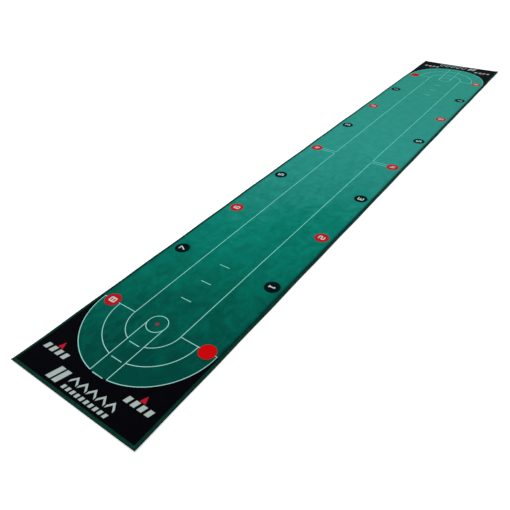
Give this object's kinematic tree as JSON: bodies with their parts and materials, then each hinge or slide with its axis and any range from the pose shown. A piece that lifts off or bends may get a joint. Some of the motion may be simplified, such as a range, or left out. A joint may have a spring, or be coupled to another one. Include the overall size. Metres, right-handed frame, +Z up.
{
  "type": "practice putting mat",
  "caption": "Long narrow roll-out golf putting mat: printed green velour on a rubber backing with overlocked thread edges, distance discs and a target at each end.",
  "frame": {"origin": "on the floor, under the middle of the mat", "axes": "+X along the mat from the near end to the far end, +Y across it to the left side, +Z up out of the putting surface"},
  "size_m": [3.048, 0.4572, 0.005],
  "materials": {
    "printed_velour": "short dense velour pile, printed green with black end panels, pale lines and red and black discs",
    "glue_film": "thin milky heat-set glue layer",
    "backing_rubber": "matt black with a fine non-slip texture",
    "looper_yarn": "dark green textured polyester overlock thread",
    "needle_yarn": "dark green spun polyester sewing thread"
  },
  "bodies": {
    "root": {"face_cloth": "printed_velour", "bonding_film": "glue_film", "rubber_backing": "backing_rubber", "near_needle_thread": "needle_yarn", "near_upper_looper": "looper_yarn", "near_lower_looper": "looper_yarn", "far_needle_thread": "needle_yarn", "far_upper_looper": "looper_yarn", "far_lower_looper": "looper_yarn", "left_needle_thread": "needle_yarn", "left_upper_looper": "looper_yarn", "left_lower_looper": "looper_yarn", "right_needle_thread": "needle_yarn", "right_upper_looper": "looper_yarn", "right_lower_looper": "looper_yarn", "corner_tails": "looper_yarn"}
  },
  "joints": []
}
